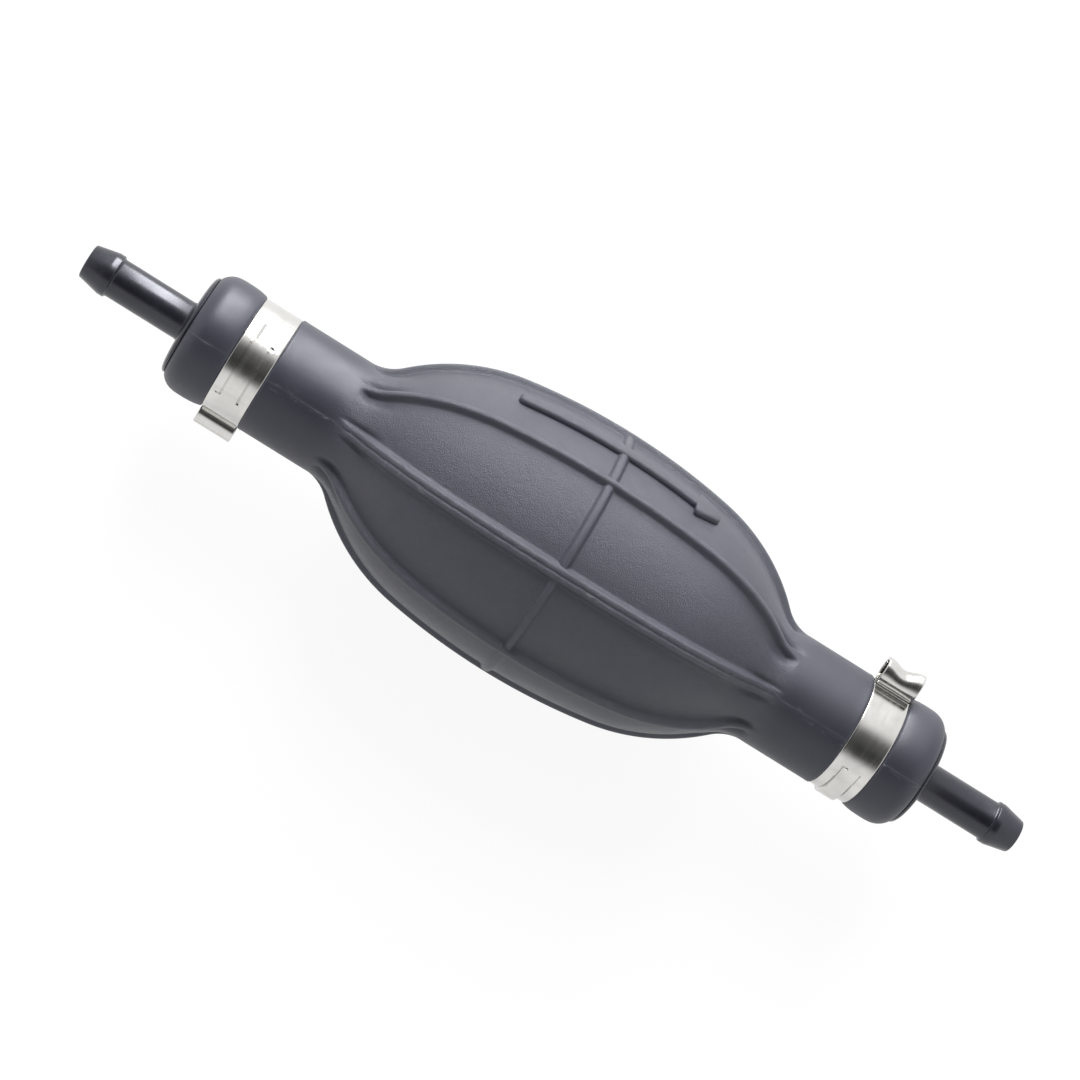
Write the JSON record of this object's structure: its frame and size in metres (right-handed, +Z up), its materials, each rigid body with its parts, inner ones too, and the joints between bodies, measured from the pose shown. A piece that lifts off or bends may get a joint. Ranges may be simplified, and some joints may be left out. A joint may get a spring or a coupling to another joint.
{
  "type": "siphon bulb pump",
  "caption": "Hand-squeezed siphon and fuel primer bulb: ribbed rubber body, barbed hose tails held by ear clamps, and a spring-loaded check valve inside each neck.",
  "frame": {"origin": "centre of the bulb, on the pump's long axis, which is also the centre of the bounding box", "axes": "+X along the pump in the direction of flow, from the inlet barb to the outlet barb; +Z up when the pump lies on two of its ribs"},
  "size_m": [0.19, 0.048, 0.048],
  "materials": {
    "bulb_rubber": "moulded rubber, dark blue-grey, satin with faint scuffs",
    "fitting_plastic": "moulded plastic, black, glossy",
    "clamp_steel": "stamped stainless strip, bright",
    "valve_plastic": "moulded acetal, natural white",
    "poppet_plastic": "moulded acetal, black",
    "seal_rubber": "moulded nitrile rubber, black",
    "spring_steel": "drawn stainless wire"
  },
  "bodies": {
    "pump": {"rubber_bulb": "bulb_rubber", "inlet_barb_fitting": "fitting_plastic", "outlet_barb_fitting": "fitting_plastic", "inlet_ear_clamp": "clamp_steel", "outlet_ear_clamp": "clamp_steel", "inlet_valve_seat": "valve_plastic", "inlet_valve_cage": "valve_plastic", "inlet_valve_spring": "spring_steel", "outlet_valve_seat": "valve_plastic", "outlet_valve_cage": "valve_plastic", "outlet_valve_spring": "spring_steel"},
    "inlet_poppet": {"inlet_valve_poppet": "poppet_plastic", "inlet_poppet_seal": "seal_rubber"},
    "outlet_poppet": {"outlet_valve_poppet": "poppet_plastic", "outlet_poppet_seal": "seal_rubber"}
  },
  "joints": [
    {"name": "inlet_valve_open", "type": "slide", "parent": "pump", "child": "inlet_poppet", "axis": [1, 0, 0], "range_m": [0, 0.002], "stiffness_N_per_m": 80, "springref_m": -0.002, "deforming": ["inlet_valve_spring"]},
    {"name": "outlet_valve_open", "type": "slide", "parent": "pump", "child": "outlet_poppet", "axis": [1, 0, 0], "range_m": [0, 0.002], "stiffness_N_per_m": 80, "springref_m": -0.002, "deforming": ["outlet_valve_spring"]}
  ]
}
